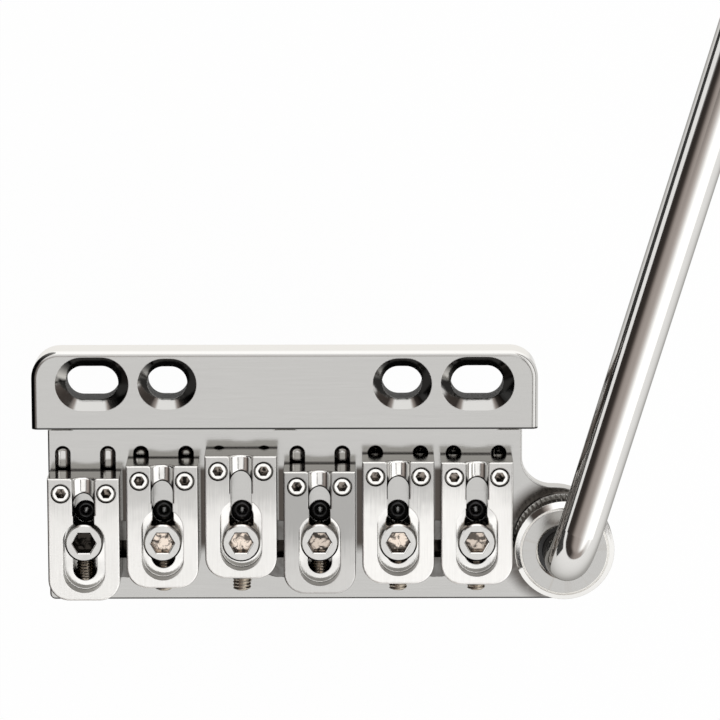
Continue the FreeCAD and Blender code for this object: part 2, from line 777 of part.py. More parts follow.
def arm_collar():
    body = new_body("arm_collar", "collar_reach", "-collar_back", base_top + " + running_gap")
    roof = "socket_rise + collar_roof_gap"
    bore = socket_bore + " + running_gap"
    thread = socket_outer + " + running_gap"
    rim = "collar_radius - collar_chamfer"
    revolve(body, "shape", [
        (thread, "0"),
        ("collar_radius - collar_foot", "0"),
        ("collar_radius", "collar_foot"),
        ("collar_radius", "collar_height - collar_chamfer"),
        (rim, "collar_height"),
        (rim + " - collar_line", "collar_height - collar_line"),
        (rim + " - 2*collar_line", "collar_height"),
        (bore + " + edge_break", "collar_height"),
        (bore, "collar_height - edge_break"),
        (bore, roof),
        (thread, roof),
    ])
    tooth = new_sketch(body, "knurl", lift="collar_height - collar_chamfer")
    polygon(tooth, [
        ("collar_radius - knurl_depth", "0"),
        ("collar_radius + knurl_depth", "-2*knurl_half"),
        ("collar_radius + knurl_depth", "2*knurl_half"),
    ])
    cut = pocket(tooth, "collar_height - collar_chamfer - knurl_margin")
    doc.recompute()
    knurl = body.newObject("PartDesign::PolarPattern", body.Name + "_knurls")
    knurl.Originals = [cut]
    knurl.Axis = (tooth, ["N_Axis"])
    knurl.Angle = full_turn
    knurl.Occurrences = knurl_count
    body.Tip = knurl
    return body


def tremolo_arm():
    # Modelled in the plane of its bend, then turned to the swing it has at rest.
    turned = FreeCAD.Rotation(FreeCAD.Vector(0, 0, 1), 90 - measure("arm_swing"))
    body = new_body("tremolo_arm", "collar_reach", "-collar_back",
                    "base_lift + socket_floor + running_gap", turned)
    section = new_sketch(body, "section")
    circle(section, "0", "0", "arm_radius")

    path = new_sketch(body, "path", "XZ_Plane")
    rise = math.radians(measure("arm_rise"))
    shaft = measure("arm_shaft")
    radius = measure("arm_bend")
    bend_end = FreeCAD.Vector(radius - radius * math.sin(rise), shaft + radius * math.cos(rise), 0)
    reach = FreeCAD.Vector(math.cos(rise), math.sin(rise), 0) * measure("arm_handle")
    upright = path.addGeometry(Part.LineSegment(FreeCAD.Vector(), FreeCAD.Vector(0, shaft, 0)))
    ring = Part.Circle(FreeCAD.Vector(radius, shaft, 0), FreeCAD.Vector(0, 0, 1), radius)
    bend = path.addGeometry(Part.ArcOfCircle(ring, 0.5 * math.pi + rise, math.pi))
    handle = path.addGeometry(Part.LineSegment(bend_end, bend_end + reach))
    path.addConstraint(Sketcher.Constraint("Coincident", upright, 1, -1, 1))
    path.addConstraint(Sketcher.Constraint("Vertical", upright))
    path.addConstraint(Sketcher.Constraint("Tangent", upright, 2, bend, 2))
    path.addConstraint(Sketcher.Constraint("Tangent", bend, 1, handle, 1))
    hold(path, "Distance", (upright,), "arm_shaft")
    hold(path, "Radius", (bend,), "arm_bend")
    hold(path, "Distance", (handle,), "arm_handle")
    slope = path.addConstraint(Sketcher.Constraint("Angle", handle, rise))
    path.setExpression("Constraints[%d]" % slope, "Sizes.arm_rise * 1 deg")
    pipe = body.newObject("PartDesign::AdditivePipe", "tremolo_arm_rod")
    pipe.Profile = section
    pipe.Spine = (path, ["Edge%d" % k for k in (1, 2, 3)])
    top = measure("arm_shaft")
    dress(body, "Fillet", "tip", "arm_tip_round",
          lambda e: e.Closed and e.BoundBox.ZMin > top + radius)
    dress(body, "Chamfer", "foot", "2*edge_break",
          lambda e: e.Closed and abs(e.BoundBox.ZMax) < tolerance)
    return body


nodes = [fixed_plate(), pivot_pin(), base_plate(), pivot_bushes(), sustain_block(), block_screws()]
for string_number in range(string_count):
    nodes.append(height_screws(string_number))
    nodes.append(saddle(string_number))
    nodes.append(clamp_screw(string_number))
    nodes.append(intonation_screw(string_number))
nodes += [arm_socket(), arm_bush(), arm_collar(), tremolo_arm()]
doc.recompute()

for item in doc.Objects:
    if "Invalid" in item.State or "Error" in item.State:
        raise RuntimeError("%s failed: %s" % (item.Label, item.State))
for node in nodes:
    if node.Shape.isNull() or not node.Shape.isValid():
        raise RuntimeError("%s has no valid solid" % node.Label)

os.makedirs("parts", exist_ok=True)
for node in nodes:
    node.Shape.exportStep("parts/%s.step" % node.Label)
    print("%-22s solids %d volume %9.2f" % (node.Label, len(node.Shape.Solids), node.Shape.Volume))
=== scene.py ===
import math

import bmesh
import bpy
from mathutils import Matrix, Vector


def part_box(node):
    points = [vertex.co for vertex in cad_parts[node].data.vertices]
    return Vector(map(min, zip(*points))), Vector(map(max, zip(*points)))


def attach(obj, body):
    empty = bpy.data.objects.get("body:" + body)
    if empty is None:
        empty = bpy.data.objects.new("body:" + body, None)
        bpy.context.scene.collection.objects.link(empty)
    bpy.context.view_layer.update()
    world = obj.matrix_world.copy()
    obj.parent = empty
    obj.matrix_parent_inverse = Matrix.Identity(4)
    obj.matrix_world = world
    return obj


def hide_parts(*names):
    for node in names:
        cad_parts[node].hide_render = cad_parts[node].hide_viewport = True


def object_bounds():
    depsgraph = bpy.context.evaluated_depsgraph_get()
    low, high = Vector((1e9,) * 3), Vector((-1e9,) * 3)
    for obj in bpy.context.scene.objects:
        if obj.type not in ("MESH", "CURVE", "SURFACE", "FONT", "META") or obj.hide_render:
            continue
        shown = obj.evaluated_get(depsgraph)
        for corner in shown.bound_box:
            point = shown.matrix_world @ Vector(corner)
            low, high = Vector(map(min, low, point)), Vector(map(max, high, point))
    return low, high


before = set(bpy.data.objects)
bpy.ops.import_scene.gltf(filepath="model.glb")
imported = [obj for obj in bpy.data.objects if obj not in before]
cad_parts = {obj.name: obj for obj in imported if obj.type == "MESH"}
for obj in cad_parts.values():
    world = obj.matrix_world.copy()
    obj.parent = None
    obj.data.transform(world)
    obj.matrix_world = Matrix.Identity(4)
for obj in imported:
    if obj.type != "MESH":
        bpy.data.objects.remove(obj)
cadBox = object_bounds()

millimetre = 0.001
strings = range(1, 7)  # bass to treble
scene = bpy.context.scene
scene.view_settings.view_transform = "Standard"
print("frame loaded,", len(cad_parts), "nodes")


def inMillimetres(*values):
    return tuple(value * millimetre for value in values)


# small helpers for node trees

def addNode(tree, kind, **settings):
    node = tree.nodes.new(kind)
    for key, value in settings.items():
        setattr(node, key, value)
    return node


def setInputs(node, **values):
    for key, value in values.items():
        node.inputs[key.replace("_", " ")].default_value = value
    return node


def feed(tree, socket, value):
    if isinstance(value, bpy.types.NodeSocket):
        tree.links.new(value, socket)
    elif isinstance(value, tuple) and len(value) == 3 and socket.type == "RGBA":
        socket.default_value = (*value, 1.0)
    else:
        socket.default_value = value


def mathNode(tree, operation, first, second=None, clamp=False):
    node = addNode(tree, "ShaderNodeMath", operation=operation, use_clamp=clamp)
    feed(tree, node.inputs[0], first)
    if second is not None:
        feed(tree, node.inputs[1], second)
    return node.outputs[0]


def product(tree, *factors):
    result = factors[0]
    for factor in factors[1:]:
        result = mathNode(tree, "MULTIPLY", result, factor)
    return result


def mapTo(tree, source, low, high):
    node = addNode(tree, "ShaderNodeMapRange")
    tree.links.new(source, node.inputs["Value"])
    setInputs(node, To_Min=low, To_Max=high)
    return node.outputs["Result"]


def smoothStep(tree, source, low, high):
    # rises from 0 at low to 1 at high, or falls where low is the greater
    node = addNode(tree, "ShaderNodeMapRange", interpolation_type="SMOOTHSTEP")
    tree.links.new(source, node.inputs["Value"])
    rising = high > low
    setInputs(node, From_Min=min(low, high), From_Max=max(low, high),
              To_Min=0.0 if rising else 1.0, To_Max=1.0 if rising else 0.0)
    return node.outputs["Result"]


def blend(tree, factor, first, second, kind="RGBA"):
    node = addNode(tree, "ShaderNodeMix", data_type=kind)
    feed(tree, node.inputs["Factor"], factor)
    start = 6 if kind == "RGBA" else 2
    feed(tree, node.inputs[start], first)
    feed(tree, node.inputs[start + 1], second)
    return node.outputs[2 if kind == "RGBA" else 0]


def rampNode(tree, source, stops):
    node = addNode(tree, "ShaderNodeValToRGB")
    elements = node.color_ramp.elements
    while len(elements) < len(stops):
        elements.new(1.0)
    for element, (place, tone) in zip(elements, stops):
        element.position = place
        element.color = (*tone, 1.0)
    tree.links.new(source, node.inputs["Fac"])
    return node.outputs["Color"]


def splitVector(tree, source):
    node = addNode(tree, "ShaderNodeSeparateXYZ")
    tree.links.new(source, node.inputs["Vector"])
    return node.outputs


def newGroup(name, inputs, outputs):
    group = bpy.data.node_groups.new(name, "ShaderNodeTree")
    for label, kind, value in inputs:
        socket = group.interface.new_socket(label, in_out="INPUT", socket_type=kind)
        if value is not None:
            socket.default_value = value
    for label, kind in outputs:
        group.interface.new_socket(label, in_out="OUTPUT", socket_type=kind)
    return group, addNode(group, "NodeGroupInput"), addNode(group, "NodeGroupOutput")


def placeGroup(tree, group, source, **values):
    # the source goes to the group's first input: a place, or a normal
    node = setInputs(addNode(tree, "ShaderNodeGroup", node_tree=group), **values)
    tree.links.new(source, node.inputs[0])
    return node.outputs


# shared finishes

def makeBrushGrain():
    # fine lines along one way of the metal, and the slow change of tone between them
    group, given, result = newGroup(
        "brushGrain",
        [("Place", "NodeSocketVector", None), ("Fineness", "NodeSocketFloat", 4000.0),
         ("Run", "NodeSocketFloat", 0.03), ("Turn", "NodeSocketFloat", 0.0)],
        [("Streak", "NodeSocketFloat"), ("Patch", "NodeSocketFloat")])
    links = group.links
    turned = addNode(group, "ShaderNodeVectorRotate", rotation_type="Z_AXIS")
    links.new(given.outputs["Place"], turned.inputs["Vector"])
    links.new(given.outputs["Turn"], turned.inputs["Angle"])
    stretch = addNode(group, "ShaderNodeCombineXYZ")
    links.new(given.outputs["Fineness"], stretch.inputs["X"])
    runFineness = mathNode(group, "MULTIPLY", given.outputs["Fineness"], given.outputs["Run"])
    links.new(runFineness, stretch.inputs["Y"])
    links.new(given.outputs["Fineness"], stretch.inputs["Z"])
    pulled = addNode(group, "ShaderNodeVectorMath", operation="MULTIPLY")
    links.new(turned.outputs["Vector"], pulled.inputs[0])
    links.new(stretch.outputs["Vector"], pulled.inputs[1])
    lines = setInputs(addNode(group, "ShaderNodeTexNoise"), Scale=1.0, Detail=3.0, Roughness=0.65)
    links.new(pulled.outputs["Vector"], lines.inputs["Vector"])
    wander = setInputs(addNode(group, "ShaderNodeTexNoise"), Scale=260.0, Detail=2.0)
    links.new(given.outputs["Place"], wander.inputs["Vector"])
    links.new(lines.outputs["Fac"], result.inputs["Streak"])
    links.new(wander.outputs["Fac"], result.inputs["Patch"])
    return group


def makeTurnedGrain():
    # rings about an upright axis, as a lathe tool leaves them, and a painted fan of light and dark on them
    group, given, result = newGroup(
        "turnedGrain",
        [("Place", "NodeSocketVector", None), ("Middle", "NodeSocketVector", None),
         ("Fineness", "NodeSocketFloat", 5000.0)],
        [("Ring", "NodeSocketFloat"), ("Fan", "NodeSocketFloat"), ("Radius", "NodeSocketFloat")])
    links = group.links
    local = addNode(group, "ShaderNodeVectorMath", operation="SUBTRACT")
    links.new(given.outputs["Place"], local.inputs[0])
    links.new(given.outputs["Middle"], local.inputs[1])
    parts = splitVector(group, local.outputs["Vector"])
    across = mathNode(group, "POWER", parts["X"], 2.0)
    along = mathNode(group, "POWER", parts["Y"], 2.0)
    radius = mathNode(group, "SQRT", mathNode(group, "ADD", across, along))
    rings = addNode(group, "ShaderNodeTexNoise", noise_dimensions="1D")
    setInputs(rings, Scale=1.0, Detail=3.0, Roughness=0.6)
    links.new(mathNode(group, "MULTIPLY", radius, given.outputs["Fineness"]), rings.inputs["W"])
    angle = mathNode(group, "ARCTAN2", parts["Y"], parts["X"])
    fan = addNode(group, "ShaderNodeTexNoise", noise_dimensions="1D")
    setInputs(fan, Scale=2.4, Detail=4.0, Roughness=0.7)
    links.new(angle, fan.inputs["W"])
    links.new(rings.outputs["Fac"], result.inputs["Ring"])
    links.new(fan.outputs["Fac"], result.inputs["Fan"])
    links.new(radius, result.inputs["Radius"])
    return group


def makeHandling():
    # smears and tiny marks that vary the gloss of a polished face
    group, given, result = newGroup(
        "handling",
        [("Place", "NodeSocketVector", None), ("Size", "NodeSocketFloat", 300.0)],
        [("Smear", "NodeSocketFloat"), ("Mark", "NodeSocketFloat")])
    links = group.links
    smear = setInputs(addNode(group, "ShaderNodeTexNoise"), Detail=4.0, Roughness=0.6, Distortion=0.6)
    links.new(given.outputs["Place"], smear.inputs["Vector"])
    links.new(given.outputs["Size"], smear.inputs["Scale"])
    mark = setInputs(addNode(group, "ShaderNodeTexNoise"), Detail=2.0, Roughness=0.7)
    links.new(given.outputs["Place"], mark.inputs["Vector"])
    links.new(mathNode(group, "MULTIPLY", given.outputs["Size"], 14.0), mark.inputs["Scale"])
    links.new(smear.outputs["Fac"], result.inputs["Smear"])
    links.new(mark.outputs["Fac"], result.inputs["Mark"])
    return group


def makeFaceSides():
    # how far a face looks up, towards the neck and towards the treble side
    group, given, result = newGroup(
        "faceSides", [("Normal", "NodeSocketVector", None)],
        [("Up", "NodeSocketFloat"), ("Front", "NodeSocketFloat"), ("Side", "NodeSocketFloat")])
    turned = addNode(group, "ShaderNodeVectorTransform", vector_type="NORMAL",
                     convert_from="WORLD", convert_to="OBJECT")
    group.links.new(given.outputs["Normal"], turned.inputs["Vector"])
    parts = splitVector(group, turned.outputs["Vector"])
    group.links.new(parts["Z"], result.inputs["Up"])
    group.links.new(parts["Y"], result.inputs["Front"])
    group.links.new(parts["X"], result.inputs["Side"])
    return group


def makeDepthBelow():
    # 0 at a level, 1 once a point lies the whole range below it
    group, given, result = newGroup(
        "depthBelow",
        [("Place", "NodeSocketVector", None), ("Level", "NodeSocketFloat", 0.0),
         ("Range", "NodeSocketFloat", 0.001)],
        [("Depth", "NodeSocketFloat")])
    height = splitVector(group, given.outputs["Place"])["Z"]
    fall = mathNode(group, "SUBTRACT", given.outputs["Level"], height)
    depth = mathNode(group, "DIVIDE", fall, given.outputs["Range"], clamp=True)
    group.links.new(depth, result.inputs["Depth"])
    return group


brushGrain = makeBrushGrain()
turnedGrain = makeTurnedGrain()
handling = makeHandling()
faceSides = makeFaceSides()
depthBelow = makeDepthBelow()
print("finish groups made")


# materials

def grey(value):
    # steel is a little warm
    return (value, value * 0.985, value * 0.955)


def startMaterial(name, metallic=1.0, grazing=0.4):
    # polished steel turns dark just before the grazing angle, satin steel hardly does
    material = bpy.data.materials.new(name)
    material.use_nodes = True
    tree = material.node_tree
    shader = setInputs(tree.nodes["Principled BSDF"], Metallic=metallic)
    if metallic:
        setInputs(shader, Specular_Tint=(*grey(grazing), 1.0))
    place = addNode(tree, "ShaderNodeTexCoord").outputs["Object"]
    return material, tree, shader, place


def softNormal(tree, look):
    # edges are softened by the rounding that a real edge has
    if "edge" not in look:
        return addNode(tree, "ShaderNodeNewGeometry").outputs["Normal"]
    edge = setInputs(addNode(tree, "ShaderNodeBevel", samples=6), Radius=look["edge"])
    return edge.outputs["Normal"]


def placeGrain(tree, place, look):
    return placeGroup(tree, brushGrain, place, Fineness=look["fineness"], Run=look["run"], Turn=look["turn"])


def grainBlur(tree, grain, wear, look):
    return mathNode(tree, "ADD", mapTo(tree, grain["Streak"], *look["streakBlur"]),
                    mapTo(tree, wear["Smear"], *look["smearBlur"]))


def dressShader(tree, shader, tone, blur, height, normal, look):
    feed(tree, shader.inputs["Base Color"], tone)
    feed(tree, shader.inputs["Roughness"], blur)
    bump = setInputs(addNode(tree, "ShaderNodeBump"), Strength=look["relief"], Distance=look["depth"])
    tree.links.new(height, bump.inputs["Height"])
    tree.links.new(normal, bump.inputs["Normal"])
    tree.links.new(bump.outputs["Normal"], shader.inputs["Normal"])


# from where to where each tone takes hold, the painted shade and painted highlight among them: by the way a
# face looks, and for notSunk by its depth
plateFacing = {
    "flat": (0.75, 0.97), "notSunk": (0.9, 0.4), "tailSlope": (-0.2, -0.6), "bassSlope": (-0.25, -0.55),
    "slope": (0.08, 0.25), "front": (0.5, 0.85), "upright": (0.5, 0.2),
}


def brushedSteel(name, look, paintShadow=None):
    material, tree, shader, place = startMaterial(name, grazing=look["grazing"])
    normal = softNormal(tree, look)
    parts = splitVector(tree, place)
    grain = placeGrain(tree, place, look)
    wear = placeGroup(tree, handling, place, Size=look["smearSize"])
    sides = placeGroup(tree, faceSides, normal)
    flat = smoothStep(tree, sides["Up"], *plateFacing["flat"])
    if "level" in look:
        sunk = placeGroup(tree, depthBelow, place, Level=look["level"], Range=look["sunkRange"])["Depth"]
        flat = product(tree, flat, smoothStep(tree, sunk, *plateFacing["notSunk"]))
    tone = blend(tree, grain["Streak"], look["darkTone"], look["lightTone"])
    # painted shade: where a plate is given a shadow mask, it is darkened to the shadow tone
    if paintShadow is not None:
        tone = blend(tree, paintShadow(tree, place, wear["Smear"]), tone, look["shadowTone"])
    # painted light: faces that don't look up, and sunk places, take the wall tone, painted lighter than the
    # top
    tone = blend(tree, flat, look["wallTone"], tone)
    if "shadeTone" in look:
        # painted shade and painted dark reflection: slopes that look to the tail or the bass side, and the
        # line of the tail edge, are painted dark
        shade = mathNode(tree, "MAXIMUM", smoothStep(tree, sides["Front"], *plateFacing["tailSlope"]),
                         smoothStep(tree, sides["Side"], *plateFacing["bassSlope"]))
        shade = mathNode(tree, "MAXIMUM", shade, smoothStep(tree, parts["Y"], *look["tailShadowLine"]))
        shade = product(tree, shade, smoothStep(tree, sides["Up"], *plateFacing["slope"]))
        tone = blend(tree, shade, tone, look["shadeTone"])
    # painted highlight: the plate's outer front face is painted white
    if "frontHighlightTone" in look:
        front = product(tree, smoothStep(tree, sides["Front"], *plateFacing["front"]),
                        smoothStep(tree, parts["Y"], *look["frontHighlightLine"]))
        tone = blend(tree, front, tone, look["frontHighlightTone"])
    # painted shade: the upright walls inside the plate's slots are painted dark and dull
    if "slotReach" in look:
        slotShade = product(
            tree, smoothStep(tree, mathNode(tree, "ABSOLUTE", parts["Y"]), *look["slotReach"]),
            smoothStep(tree, parts["Z"], *look["slotLevel"]),
            smoothStep(tree, mathNode(tree, "ABSOLUTE", parts["X"]), *look["slotSpan"]),
            smoothStep(tree, mathNode(tree, "ABSOLUTE", sides["Up"]), *plateFacing["upright"]))
        tone = blend(tree, slotShade, tone, look["slotShadeTone"])
        # the slots' painted shade is also made less metallic, so their walls don't shine
        feed(tree, shader.inputs["Metallic"], mathNode(tree, "SUBTRACT", 1.0, slotShade))
    blur = grainBlur(tree, grain, wear, look)
    blur = blend(tree, flat, look["wallBlur"], blur, "FLOAT")
    if "slotReach" in look:
        blur = blend(tree, slotShade, blur, look["slotBlur"], "FLOAT")
    dressShader(tree, shader, tone, blur, grain["Streak"], normal, look)
    return material


# mouth and floor of a recess as shares of its range, and the smears that fleck its painted shade
recessSteps = {"mouth": (0.02, 0.08), "floor": (0.35, 0.6), "shadeSpecks": (0.43, 0.57)}


def polishedSteel(name, look):
    material, tree, shader, place = startMaterial(name, look.get("metallic", 1.0))
    wear = placeGroup(tree, handling, place, Size=look["smearSize"])
    tone = blend(tree, wear["Smear"], look["darkTone"], look["lightTone"])
    blur = mapTo(tree, wear["Smear"], *look["smearBlur"])
    # painted highlight at a recess's mouth, and painted shade flecked lighter on its floor
    if "recess" in look:
        recess = look["recess"]
        sunk = placeGroup(tree, depthBelow, place, Level=recess["level"], Range=recess["range"])["Depth"]
        shadeSpecks = smoothStep(tree, wear["Smear"], *recessSteps["shadeSpecks"])
        shadeSpecks = blend(tree, shadeSpecks, recess["darkTone"], recess["lightTone"])
        tone = blend(tree, smoothStep(tree, sunk, *recessSteps["mouth"]), tone, recess["mouthTone"])
        tone = blend(tree, smoothStep(tree, sunk, *recessSteps["floor"]), tone, shadeSpecks)
    dressShader(tree, shader, tone, blur, wear["Mark"], softNormal(tree, look), look)
    return material


def turnedSteel(name, look, middle):
    material, tree, shader, place = startMaterial(name)
    normal = softNormal(tree, look)
    rings = placeGroup(tree, turnedGrain, place, Middle=middle, Fineness=look["fineness"])
    flat = smoothStep(tree, placeGroup(tree, faceSides, normal)["Up"], *look["flat"])
    tone = blend(tree, rings["Ring"], look["darkTone"], look["lightTone"])
    # painted reflection: a dark fan across the collar's top
    fan = product(tree, smoothStep(tree, rings["Fan"], *look["fanRange"]), look["fanShare"])
    tone = blend(tree, fan, tone, look["fanTone"])
    # painted light: faces that don't look up, the knurled side, are painted much lighter than the top
    tone = blend(tree, flat, look["wallTone"], tone)
    blur = blend(tree, flat, look["wallBlur"], mapTo(tree, rings["Ring"], *look["ringBlur"]), "FLOAT")
    dressShader(tree, shader, tone, blur, rings["Ring"], normal, look)
    return material


def finishNode(node, material):
    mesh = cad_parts[node].data
    mesh.materials.clear()
    mesh.materials.append(material)


# plates

tailInsets = inMillimetres(0.3, 0.14)


def tailShadowLine(tail):
    # from where to where, going back, the last line of a plate is painted dark as a shadow
    return tuple(tail + inset for inset in tailInsets)


satinLook = {
    "darkTone": grey(0.46), "lightTone": grey(0.53), "grazing": 0.85,
    "fineness": 9000.0, "run": 0.02, "turn": math.radians(90), "relief": 0.1, "depth": 0.00002,
    "smearSize": 160.0, "streakBlur": (0.13, 0.19), "smearBlur": (-0.03, 0.04),
    "edge": 0.14 * millimetre, "wallTone": grey(0.6), "wallBlur": 0.06,
}
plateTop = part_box("fixed_plate")[1].z
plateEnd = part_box("fixed_plate")[1].x
lipTail = -6.3 * millimetre
plateLook = dict(
    satinLook, shadeTone=grey(0.03), tailShadowLine=tailShadowLine(lipTail), slotShadeTone=grey(0.09), slotBlur=0.75,
    frontHighlightTone=grey(1.0), frontHighlightLine=inMillimetres(3.2, 3.5), slotReach=inMillimetres(3.2, 2.9),
    slotSpan=tuple(plateEnd - inset for inset in inMillimetres(1.0, 1.4)),
    slotLevel=tuple(plateTop - depth for depth in inMillimetres(1.25, 1.5)))
finishNode("fixed_plate", brushedSteel("satinPlate", plateLook))

# painted shade on the base between the saddles, and a patchy painted dark reflection round the collar;
# lengths in millimetres
baseShadow = {
    "gap": (1.1, 0.8), "from": (-11.5, -12.5), "to": (-24.5, -22.5), "side": (27.5, 27.0), "share": 0.92,
    "ring": (9.8, 7.6), "ringShare": 0.85, "patchy": (0.25, 0.55),
}
collarLow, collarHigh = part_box("arm_collar")
collarMiddle = (collarLow + collarHigh) / 2
stringPitch = (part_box("clamp_screw_6")[0].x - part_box("clamp_screw_1")[0].x) / (len(strings) - 1)


def shadowOnBase(tree, place, smear):
    lengths = ("gap", "from", "to", "side", "ring")
    steps = {key: inMillimetres(*baseShadow[key]) for key in lengths}
    parts = splitVector(tree, place)
    aside = mathNode(tree, "PINGPONG", parts["X"], 0.5 * stringPitch)
    gap = product(
        tree, smoothStep(tree, aside, *steps["gap"]),
        smoothStep(tree, parts["Y"], *steps["from"]), smoothStep(tree, parts["Y"], *steps["to"]),
        smoothStep(tree, mathNode(tree, "ABSOLUTE", parts["X"]), *steps["side"]), baseShadow["share"])
    radius = placeGroup(tree, turnedGrain, place, Middle=collarMiddle)["Radius"]
    ring = product(tree, smoothStep(tree, radius, *steps["ring"]), baseShadow["ringShare"],
                   smoothStep(tree, smear, *baseShadow["patchy"]))
    return mathNode(tree, "MAXIMUM", gap, ring)


baseLow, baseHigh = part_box("base_plate")
baseLook = dict(
    satinLook, streakBlur=(0.1, 0.16), shadowTone=(0.045, 0.034, 0.027), shadeTone=grey(0.03),
    tailShadowLine=tailShadowLine(baseLow.y), level=baseHigh.z, sunkRange=0.2 * millimetre)
finishNode("base_plate", brushedSteel("satinBase", baseLook, shadowOnBase))

# block under the base

blockLook = dict(
    satinLook, darkTone=grey(0.3), lightTone=grey(0.6), fineness=2600.0, run=0.015, edge=0.3 * millimetre,
    streakBlur=(0.2, 0.36), relief=0.3, depth=0.00004)


def milledSteel(name, look):
    # streaks run along the block on all its sides
    material, tree, shader, place = startMaterial(name, grazing=look["grazing"])
    grain = placeGrain(tree, place, look)
    wear = placeGroup(tree, handling, place, Size=look["smearSize"])
    tone = blend(tree, grain["Streak"], look["darkTone"], look["lightTone"])
    blur = grainBlur(tree, grain, wear, look)
    dressShader(tree, shader, tone, blur, grain["Streak"], softNormal(tree, look), look)
    return material


finishNode("sustain_block", milledSteel("milledBlock", blockLook))

# saddles: brushed tops with painted light from grey at the nose to nearly white, polished wells, and sides
# darkened as painted shade

saddleLook = {
    "fineness": 7000.0, "run": 0.03, "turn": 0.0, "topBlur": (0.3, 0.42), "wallBlur": 0.1,
    "wallTone": grey(0.2), "sideTone": grey(0.36), "faceTone": grey(0.6), "rimHighlightTone": grey(1.0),
    "streakTone": grey(0.5), "streakShare": 0.3,
    "sunkTones": (grey(0.7), grey(0.9)), "sunkBlur": 0.07, "sunkRange": 0.3 * millimetre, "grazing": 0.65,
    "shadeTone": grey(0.03), "shadowTone": (0.05, 0.04, 0.035), "footShadowHeight": inMillimetres(1.2, 0.9),
    "relief": 0.25, "depth": 0.00003, "edge": 0.18 * millimetre,
}
# which way a saddle's faces look
saddleFacing = {"top": (0.4, 0.85), "front": (0.4, 0.85), "seatBack": (-0.2, -0.5), "rim": (0.15, 0.4)}
# shares of a saddle's length from the nose; side, sunk and patch are shares of its half width, its sunk range
# and its grain
saddleSteps = {
    "nose": (0.1, 0.04), "seat": (0.4, 0.35), "tail": (0.93, 0.96), "side": (0.93, 0.97), "sunk": (0.3, 0.9),
    "change": 0.2, "waviness": 0.35, "patch": (0.35, 0.65),
}
# painted light on each saddle's top: tone at the nose, tone at the tail and where the change lies along each
# saddle
saddleLightTones = {
    1: (0.62, 0.92, 0.25), 2: (0.58, 0.94, 0.42), 3: (0.55, 0.93, 0.4),
    4: (0.4, 0.66, 0.62), 5: (0.5, 1.0, 0.36), 6: (0.62, 1.0, 0.2),
}


def saddleSteel(number, look):
    material, tree, shader, place = startMaterial("brushedSaddle%d" % number, grazing=look["grazing"])
    low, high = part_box("saddle_%d" % number)
    noseTone, tailTone, change = saddleLightTones[number]
    grain = placeGrain(tree, place, look)
    sides = placeGroup(tree, faceSides, addNode(tree, "ShaderNodeNewGeometry").outputs["Normal"])
    top = smoothStep(tree, sides["Up"], *saddleFacing["top"])
    sunk = placeGroup(tree, depthBelow, place, Level=high.z, Range=look["sunkRange"])["Depth"]
    sunk = smoothStep(tree, sunk, *saddleSteps["sunk"])
    parts = splitVector(tree, place)
    fromNose = mathNode(tree, "SUBTRACT", high.y, parts["Y"])
    along = mathNode(tree, "DIVIDE", fromNose, high.y - low.y)
    uneven = mathNode(tree, "SUBTRACT", mathNode(tree, "ADD", grain["Streak"], grain["Patch"]), 1.0)
    wavy = mathNode(tree, "ADD", along, product(tree, uneven, saddleSteps["waviness"]))
    reach = saddleSteps["change"]
    toTail = smoothStep(tree, wavy, change - reach, change + reach)
    # painted light along the top, from the nose tone to the tail tone
    light = blend(tree, toTail, grey(noseTone), grey(tailTone))
    light = blend(tree, product(tree, grain["Streak"], look["streakShare"]), light, look["streakTone"])
    well = blend(tree, smoothStep(tree, grain["Patch"], *saddleSteps["patch"]), *look["sunkTones"])
    light = blend(tree, sunk, light, well)
    aside = mathNode(tree, "ABSOLUTE", mathNode(tree, "SUBTRACT", parts["X"], 0.5 * (low.x + high.x)))
    aside = mathNode(tree, "DIVIDE", aside, 0.5 * (high.x - low.x))
    outside = mathNode(tree, "MAXIMUM", smoothStep(tree, along, *saddleSteps["tail"]),
                       smoothStep(tree, aside, *saddleSteps["side"]))
    # painted shade: walls that don't look up are painted dark, at the tail and the outer sides a little less
    wall = blend(tree, outside, look["wallTone"], look["sideTone"])
    tone = blend(tree, top, wall, light)
    nose = smoothStep(tree, along, *saddleSteps["nose"])
    # painted light: the front face at the nose is painted light grey
    face = product(tree, smoothStep(tree, sides["Front"], *saddleFacing["front"]), nose)
    tone = blend(tree, face, tone, look["faceTone"])
    # painted shade: faces behind the string seat that look to the tail are painted near black
    behindSeat = product(tree, smoothStep(tree, sides["Front"], *saddleFacing["seatBack"]),
                         smoothStep(tree, along, *saddleSteps["seat"]))
    tone = blend(tree, behindSeat, tone, look["shadeTone"])
    # painted shadow: the foot of the front face is painted dark where it meets the base
    foot = smoothStep(tree, mathNode(tree, "SUBTRACT", parts["Z"], low.z), *look["footShadowHeight"])
    tone = blend(tree, product(tree, foot, face), tone, look["shadowTone"])
    # painted highlight: the rounded front edge is painted white
    rounded = softNormal(tree, look)
    roundedSides = placeGroup(tree, faceSides, rounded)
    rim = product(tree, smoothStep(tree, roundedSides["Front"], *saddleFacing["rim"]),
                  smoothStep(tree, roundedSides["Up"], *saddleFacing["rim"]), nose)
    tone = blend(tree, rim, tone, look["rimHighlightTone"])
    blur = blend(tree, sunk, mapTo(tree, grain["Streak"], *look["topBlur"]), look["sunkBlur"], "FLOAT")
    blur = blend(tree, top, look["wallBlur"], blur, "FLOAT")
    dressShader(tree, shader, tone, blur, grain["Streak"], rounded, look)
    finishNode("saddle_%d" % number, material)


for number in strings:
    saddleSteel(number, saddleLook)

# screws and pin

screwLook = {
    "darkTone": grey(0.66), "lightTone": grey(0.8), "smearSize": 600.0, "smearBlur": (0.08, 0.2),
    "relief": 0.08, "depth": 0.00002, "edge": 0.06 * millimetre,
}
screwSteel = polishedSteel("screwSteel", screwLook)
for node in ("pivot_pin", "arm_socket"):
    finishNode(node, screwSteel)


